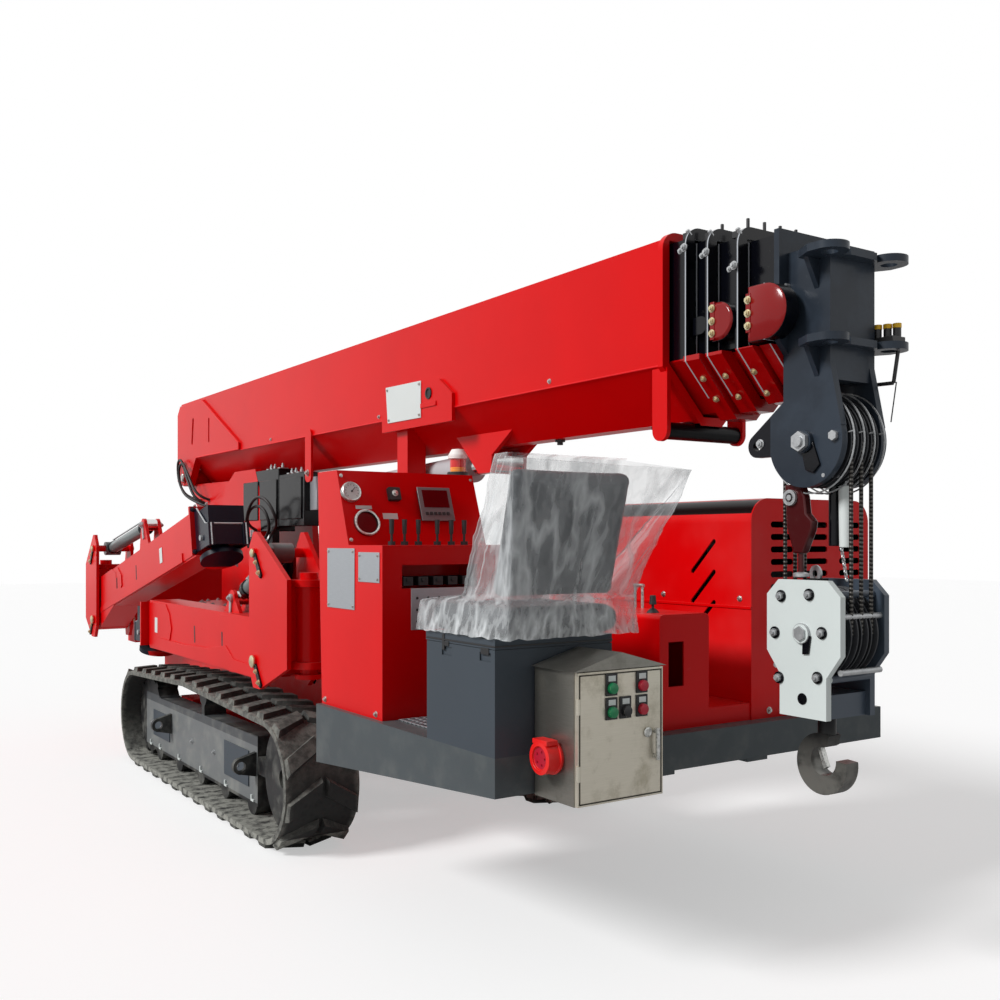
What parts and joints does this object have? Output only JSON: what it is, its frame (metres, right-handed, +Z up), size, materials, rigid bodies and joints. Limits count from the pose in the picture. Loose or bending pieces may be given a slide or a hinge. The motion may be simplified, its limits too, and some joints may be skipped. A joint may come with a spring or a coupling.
{
  "type": "crawler crane",
  "caption": "Compact crawler crane with a telescopic boom, a hook block, folding outriggers, an operator console with a seat, and an engine hood beside it.",
  "frame": {"origin": "on the ground, at the middle of the overall length and width", "axes": "+X forward towards the boom head, +Y to the left side, +Z up"},
  "size_m": [6.0099, 1.7768, 2.351],
  "materials": {
    "red_paint": "gloss",
    "grey_paint": "satin",
    "navy_paint": "satin",
    "black_paint": "satin",
    "light_paint": "satin",
    "ram_paint": "satin",
    "stainless": "brushed",
    "rod_chrome": "polished",
    "track_rubber": "matte",
    "sheave_iron": "satin",
    "rope_steel": "rough",
    "engine_iron": "rough",
    "control_plastic": "matte",
    "beacon_plastic": "gloss",
    "inlet_plastic": "gloss",
    "seat_vinyl": "matte"
  },
  "bodies": {
    "chassis": {"chassis_frame": "red_paint", "deck": "grey_paint", "right_track": "track_rubber", "left_track": "track_rubber", "right_track_frame": "black_paint", "left_track_frame": "black_paint", "console": "red_paint", "console_gauges": "control_plastic", "control_levers": "control_plastic", "beacon": "beacon_plastic", "seat_box": "navy_paint", "seat_cushion": "seat_vinyl", "seat_backrest": "seat_vinyl", "engine_hood": "red_paint", "engine_block": "engine_iron", "low_cover": "red_paint", "control_cabinet": "stainless", "power_inlet": "inlet_plastic", "boom_rest_post": "red_paint"},
    "cabinet_door": {"cabinet_door": "stainless"},
    "turret": {"turret": "black_paint", "winch_drum": "black_paint"},
    "boom_base": {"boom_base": "red_paint", "derrick_bracket": "red_paint"},
    "section_2": {"section_2": "red_paint"},
    "section_3": {"section_3": "red_paint"},
    "section_4": {"section_4": "red_paint"},
    "section_5": {"section_5": "red_paint", "boom_head": "navy_paint", "head_sheaves": "sheave_iron"},
    "hook": {"hook_block": "light_paint", "block_sheaves": "sheave_iron", "hoist_ropes": "rope_steel", "hook": "black_paint"},
    "derrick_barrel": {"derrick_barrel": "ram_paint"},
    "derrick_rod": {"derrick_rod": "rod_chrome"},
    "right_front_bracket": {"right_front_bracket": "red_paint"},
    "right_front_beam": {"right_front_beam": "red_paint"},
    "right_front_foot": {"right_front_foot": "navy_paint"},
    "right_front_ram_barrel": {"right_front_ram_barrel": "ram_paint"},
    "right_front_ram_rod": {"right_front_ram_rod": "rod_chrome"},
    "left_front_bracket": {"left_front_bracket": "red_paint"},
    "left_front_beam": {"left_front_beam": "red_paint"},
    "left_front_foot": {"left_front_foot": "navy_paint"},
    "left_front_ram_barrel": {"left_front_ram_barrel": "ram_paint"},
    "left_front_ram_rod": {"left_front_ram_rod": "rod_chrome"},
    "right_rear_bracket": {"right_rear_bracket": "red_paint"},
    "right_rear_beam": {"right_rear_beam": "red_paint"},
    "right_rear_foot": {"right_rear_foot": "navy_paint"},
    "right_rear_ram_barrel": {"right_rear_ram_barrel": "ram_paint"},
    "right_rear_ram_rod": {"right_rear_ram_rod": "rod_chrome"},
    "left_rear_bracket": {"left_rear_bracket": "red_paint"},
    "left_rear_beam": {"left_rear_beam": "red_paint"},
    "left_rear_foot": {"left_rear_foot": "navy_paint"},
    "left_rear_ram_barrel": {"left_rear_ram_barrel": "ram_paint"},
    "left_rear_ram_rod": {"left_rear_ram_rod": "rod_chrome"}
  },
  "joints": [
    {"name": "slew", "type": "hinge", "parent": "chassis", "child": "turret", "pos_m": [-1.6, 0, 0.89], "axis": [0, 0, 1], "continuous": true},
    {"name": "luff", "type": "hinge", "parent": "turret", "child": "boom_base", "pos_m": [-2.73, 0, 1.79], "axis": [0, -1, 0], "range_deg": [0, 75]},
    {"name": "section_2_slide", "type": "slide", "parent": "boom_base", "child": "section_2", "axis": [1, 0, 0], "range_m": [0, 3.6]},
    {"name": "section_3_slide", "type": "slide", "parent": "section_2", "child": "section_3", "axis": [1, 0, 0], "range_m": [0, 3.6]},
    {"name": "section_4_slide", "type": "slide", "parent": "section_3", "child": "section_4", "axis": [1, 0, 0], "range_m": [0, 3.6]},
    {"name": "section_5_slide", "type": "slide", "parent": "section_4", "child": "section_5", "axis": [1, 0, 0], "range_m": [0, 3.6]},
    {"name": "hook_hang", "type": "hinge", "parent": "section_5", "child": "hook", "pos_m": [2.832, 0, 1.63], "axis": [0, -1, 0], "range_deg": [-75, 0]},
    {"name": "derrick_barrel_pivot", "type": "hinge", "parent": "turret", "child": "derrick_barrel", "pos_m": [-1.45, 0, 1.57], "axis": [0, -1, 0], "range_deg": [0, 90.26]},
    {"name": "derrick_rod_slide", "type": "slide", "parent": "derrick_barrel", "child": "derrick_rod", "axis": [0.9991, 0, 0.0433], "range_m": [0, 1.3435]},
    {"name": "right_front_swing", "type": "hinge", "parent": "chassis", "child": "right_front_bracket", "pos_m": [0.64, -0.715, 0.791], "axis": [0, 0, 1], "range_deg": [0, 110]},
    {"name": "right_front_lower", "type": "hinge", "parent": "right_front_bracket", "child": "right_front_beam", "pos_m": [0.32, -0.715, 0.791], "axis": [0, -1, 0], "range_deg": [0, 15.16]},
    {"name": "right_front_foot_slide", "type": "slide", "parent": "right_front_beam", "child": "right_front_foot", "axis": [-1, 0, 0], "range_m": [0, 0.6001]},
    {"name": "right_front_ram_pivot", "type": "hinge", "parent": "right_front_bracket", "child": "right_front_ram_barrel", "pos_m": [0.32, -0.715, 1.281], "axis": [0, -1, 0], "range_deg": [0, 9.37]},
    {"name": "right_front_ram_slide", "type": "slide", "parent": "right_front_ram_barrel", "child": "right_front_ram_rod", "axis": [-0.9129, 0, -0.4081], "range_m": [0, 0.1136]},
    {"name": "left_front_swing", "type": "hinge", "parent": "chassis", "child": "left_front_bracket", "pos_m": [0.64, 0.715, 0.791], "axis": [0, 0, -1], "range_deg": [0, 110]},
    {"name": "left_front_lower", "type": "hinge", "parent": "left_front_bracket", "child": "left_front_beam", "pos_m": [0.32, 0.715, 0.791], "axis": [0, -1, 0], "range_deg": [0, 15.16]},
    {"name": "left_front_foot_slide", "type": "slide", "parent": "left_front_beam", "child": "left_front_foot", "axis": [-1, 0, 0], "range_m": [0, 0.6001]},
    {"name": "left_front_ram_pivot", "type": "hinge", "parent": "left_front_bracket", "child": "left_front_ram_barrel", "pos_m": [0.32, 0.715, 1.281], "axis": [0, -1, 0], "range_deg": [0, 9.37]},
    {"name": "left_front_ram_slide", "type": "slide", "parent": "left_front_ram_barrel", "child": "left_front_ram_rod", "axis": [-0.9129, 0, -0.4081], "range_m": [0, 0.1136]},
    {"name": "right_rear_swing", "type": "hinge", "parent": "chassis", "child": "right_rear_bracket", "pos_m": [-2.925, -0.715, 0.791], "axis": [0, 0, -1], "range_deg": [0, 120]},
    {"name": "right_rear_lower", "type": "hinge", "parent": "right_rear_bracket", "child": "right_rear_beam", "pos_m": [-2.74, -0.715, 0.791], "axis": [0, 1, 0], "range_deg": [0, 27]},
    {"name": "right_rear_foot_slide", "type": "slide", "parent": "right_rear_beam", "child": "right_rear_foot", "axis": [0.9796, 0, 0.2011], "range_m": [0, 0.6001]},
    {"name": "right_rear_ram_pivot", "type": "hinge", "parent": "right_rear_bracket", "child": "right_rear_ram_barrel", "pos_m": [-2.74, -0.715, 1.281], "axis": [0, 1, 0], "range_deg": [0, 26.15]},
    {"name": "right_rear_ram_slide", "type": "slide", "parent": "right_rear_ram_barrel", "child": "right_rear_ram_rod", "axis": [0.9874, 0, 0.1581], "range_m": [0, 0.2283]},
    {"name": "left_rear_swing", "type": "hinge", "parent": "chassis", "child": "left_rear_bracket", "pos_m": [-2.925, 0.715, 0.791], "axis": [0, 0, 1], "range_deg": [0, 120]},
    {"name": "left_rear_lower", "type": "hinge", "parent": "left_rear_bracket", "child": "left_rear_beam", "pos_m": [-2.74, 0.715, 0.791], "axis": [0, 1, 0], "range_deg": [0, 27]},
    {"name": "left_rear_foot_slide", "type": "slide", "parent": "left_rear_beam", "child": "left_rear_foot", "axis": [0.9796, 0, 0.2011], "range_m": [0, 0.6001]},
    {"name": "left_rear_ram_pivot", "type": "hinge", "parent": "left_rear_bracket", "child": "left_rear_ram_barrel", "pos_m": [-2.74, 0.715, 1.281], "axis": [0, 1, 0], "range_deg": [0, 26.15]},
    {"name": "left_rear_ram_slide", "type": "slide", "parent": "left_rear_ram_barrel", "child": "left_rear_ram_rod", "axis": [0.9874, 0, 0.1581], "range_m": [0, 0.2283]},
    {"name": "cabinet_door_hinge", "type": "hinge", "parent": "chassis", "child": "cabinet_door", "pos_m": [2.576, -0.746, 0.79], "axis": [0, 0, -1], "range_deg": [0, 110]}
  ],
  "couplings": [
    {"joint": "section_3_slide", "follows": "section_2_slide", "ratio": 1},
    {"joint": "section_4_slide", "follows": "section_2_slide", "ratio": 1},
    {"joint": "section_5_slide", "follows": "section_2_slide", "ratio": 1},
    {"joint": "hook_hang", "follows": "luff", "ratio": -1},
    {"joint": "derrick_barrel_pivot", "follows": "luff", "ratio": 1.2033},
    {"joint": "derrick_rod_slide", "follows": "luff", "m_per_rad": 1.0263},
    {"joint": "right_front_lower", "follows": "right_front_swing", "ratio": 0.13775},
    {"joint": "right_front_foot_slide", "follows": "right_front_swing", "m_per_rad": 0.31252},
    {"joint": "right_front_ram_pivot", "follows": "right_front_swing", "ratio": 0.085093},
    {"joint": "right_front_ram_slide", "follows": "right_front_swing", "m_per_rad": 0.05907},
    {"joint": "left_front_lower", "follows": "left_front_swing", "ratio": 0.13775},
    {"joint": "left_front_foot_slide", "follows": "left_front_swing", "m_per_rad": 0.31252},
    {"joint": "left_front_ram_pivot", "follows": "left_front_swing", "ratio": 0.085093},
    {"joint": "left_front_ram_slide", "follows": "left_front_swing", "m_per_rad": 0.05907},
    {"joint": "right_rear_lower", "follows": "right_rear_swing", "ratio": 0.2249},
    {"joint": "right_rear_foot_slide", "follows": "right_rear_swing", "m_per_rad": 0.28648},
    {"joint": "right_rear_ram_pivot", "follows": "right_rear_swing", "ratio": 0.21787},
    {"joint": "right_rear_ram_slide", "follows": "right_rear_swing", "m_per_rad": 0.10892},
    {"joint": "left_rear_lower", "follows": "left_rear_swing", "ratio": 0.2249},
    {"joint": "left_rear_foot_slide", "follows": "left_rear_swing", "m_per_rad": 0.28648},
    {"joint": "left_rear_ram_pivot", "follows": "left_rear_swing", "ratio": 0.21787},
    {"joint": "left_rear_ram_slide", "follows": "left_rear_swing", "m_per_rad": 0.10892}
  ]
}
